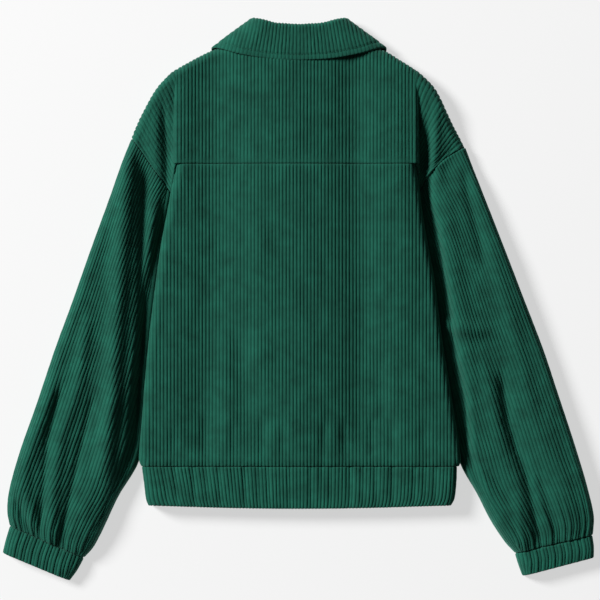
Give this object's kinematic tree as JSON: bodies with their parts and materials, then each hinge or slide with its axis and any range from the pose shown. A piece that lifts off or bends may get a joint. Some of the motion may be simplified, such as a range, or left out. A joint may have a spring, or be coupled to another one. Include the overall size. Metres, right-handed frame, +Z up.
{
  "type": "corduroy jacket",
  "caption": "Short corduroy jacket laid flat on its front, back up, with a turned collar, back yoke, dropped shoulders, gathered cuffs and a hem band.",
  "frame": {"origin": "middle of the footprint, on the surface that the jacket lies on", "axes": "+Z up out of the surface, +Y towards the collar, +X towards the right sleeve as the back is seen from above"},
  "size_m": [0.71, 0.6776, 0.0295],
  "materials": {
    "corduroy": "deep green cotton corduroy, brushed ribs about 4 mm apart, soft sheen",
    "corduroy_band": "the same corduroy gathered on elastic",
    "button": "satin dyed resin"
  },
  "bodies": {
    "root": {"back_panel": "corduroy", "back_yoke": "corduroy", "hem_band": "corduroy_band", "collar_stand": "corduroy", "collar_fall": "corduroy", "front_left": "corduroy", "front_right": "corduroy", "sleeve_left": "corduroy", "sleeve_right": "corduroy", "cuff_left": "corduroy_band", "cuff_right": "corduroy_band", "button_1": "button", "button_2": "button", "button_3": "button", "button_4": "button", "button_5": "button"}
  },
  "joints": []
}
